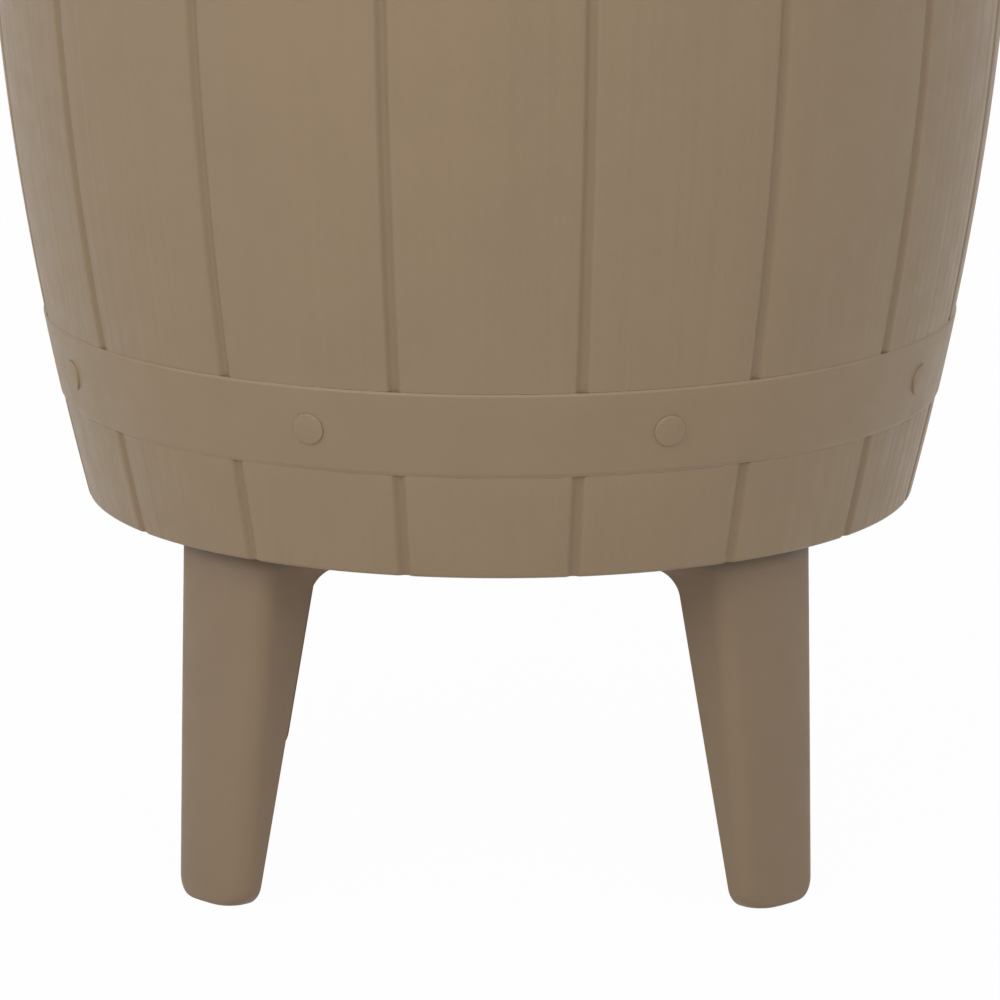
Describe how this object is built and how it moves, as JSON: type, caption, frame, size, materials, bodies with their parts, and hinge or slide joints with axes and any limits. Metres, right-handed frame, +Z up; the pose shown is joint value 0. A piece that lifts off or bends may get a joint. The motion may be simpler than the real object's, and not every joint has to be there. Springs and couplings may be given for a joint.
{
  "type": "cooler table",
  "caption": "Barrel-shaped resin side table with an ice bucket inside; the round top rises on a column and twists to lock.",
  "frame": {"origin": "on the floor, under the middle of the barrel", "axes": "+Z up along the barrel's axis, -Y towards the front, +X to the right"},
  "size_m": [0.495, 0.495, 0.57],
  "materials": {
    "taupe_resin": "moulded polypropylene with an embossed wood grain, satin",
    "bucket_resin": "smooth moulded polypropylene",
    "bearing_resin": "self-lubricating acetal, satin",
    "gasket_rubber": "moulded rubber, matt",
    "screw_steel": "stainless steel, plain"
  },
  "bodies": {
    "root": {"barrel": "taupe_resin", "inner_bucket": "bucket_resin", "leg_front_left": "taupe_resin", "leg_front_right": "taupe_resin", "leg_rear_left": "taupe_resin", "leg_rear_right": "taupe_resin", "leg_screw_front_left_1": "screw_steel", "leg_screw_front_left_2": "screw_steel", "leg_screw_front_right_1": "screw_steel", "leg_screw_front_right_2": "screw_steel", "leg_screw_rear_left_1": "screw_steel", "leg_screw_rear_left_2": "screw_steel", "leg_screw_rear_right_1": "screw_steel", "leg_screw_rear_right_2": "screw_steel", "column_gasket": "gasket_rubber", "guide_column": "taupe_resin", "column_collar": "taupe_resin", "column_screw_1": "screw_steel", "column_screw_2": "screw_steel", "column_screw_3": "screw_steel", "column_screw_4": "screw_steel", "collar_screw_1": "screw_steel", "collar_screw_2": "screw_steel"},
    "carriage": {"glide_ring": "bearing_resin"},
    "tabletop": {"tube_foot": "bearing_resin", "lift_tube": "taupe_resin", "lid_pan": "taupe_resin", "lid_gasket": "gasket_rubber", "tabletop_deck": "taupe_resin", "foot_screw_right": "screw_steel", "foot_screw_left": "screw_steel", "hub_screw_right": "screw_steel", "hub_screw_left": "screw_steel", "deck_screw_1": "screw_steel", "deck_screw_2": "screw_steel", "deck_screw_3": "screw_steel", "deck_screw_4": "screw_steel", "deck_screw_5": "screw_steel", "deck_screw_6": "screw_steel"},
    "drain_follower": {"drain_washer": "gasket_rubber"},
    "drain_cap": {"drain_cap": "taupe_resin"}
  },
  "joints": [
    {"name": "table_lift", "type": "slide", "parent": "root", "child": "carriage", "axis": [0, 0, 1], "range_m": [0, 0.27]},
    {"name": "table_lock", "type": "hinge", "parent": "carriage", "child": "tabletop", "pos_m": [0, 0, 0], "axis": [0, 0, -1], "range_deg": [0, 30]},
    {"name": "drain_cap_travel", "type": "slide", "parent": "root", "child": "drain_follower", "axis": [0, 0, -1], "range_m": [0, 0.009]},
    {"name": "drain_cap_turn", "type": "hinge", "parent": "drain_follower", "child": "drain_cap", "pos_m": [0, 0.115, 0.15], "axis": [0, 0, -1], "range_deg": [0, 1080]}
  ],
  "couplings": [
    {"joint": "drain_cap_travel", "follows": "drain_cap_turn", "m_per_rad": 0.00047746}
  ]
}
